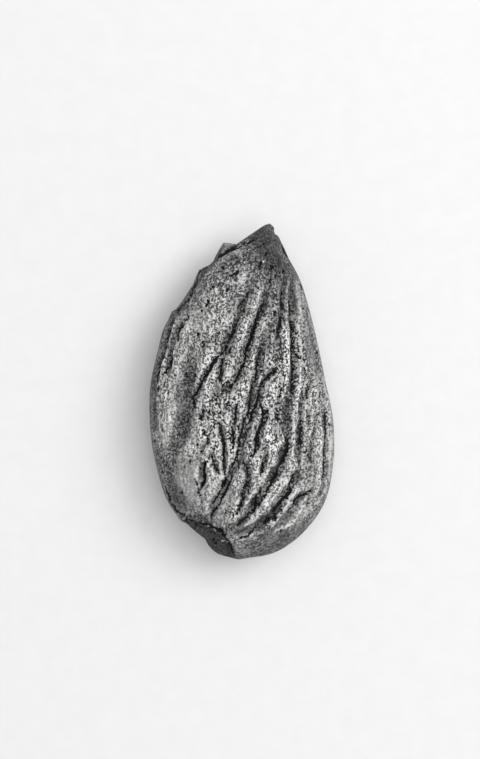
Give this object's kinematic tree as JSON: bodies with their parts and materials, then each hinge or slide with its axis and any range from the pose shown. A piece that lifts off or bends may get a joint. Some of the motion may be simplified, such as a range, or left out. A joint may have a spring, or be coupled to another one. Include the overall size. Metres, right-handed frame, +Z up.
{
  "type": "apricot kernel",
  "caption": "Dried apricot kernel: a flat, almond-shaped seed with a pointed tip, a dark scar at its blunt end and a shrunken, furrowed seed coat.",
  "frame": {"origin": "under the middle of the kernel's box, on the surface that it lies on", "axes": "+Y along the kernel, from the blunt end with its scar to the pointed tip; +Z up through its thickness; +X towards the smooth, evenly curved edge"},
  "size_m": [0.01, 0.0182, 0.0056],
  "materials": {
    "seed_coat": "dry, wrinkled seed coat, matt with a faint sheen, dark in its furrows and dusted with a pale bloom"
  },
  "bodies": {
    "root": {"kernel": "seed_coat"}
  },
  "joints": []
}
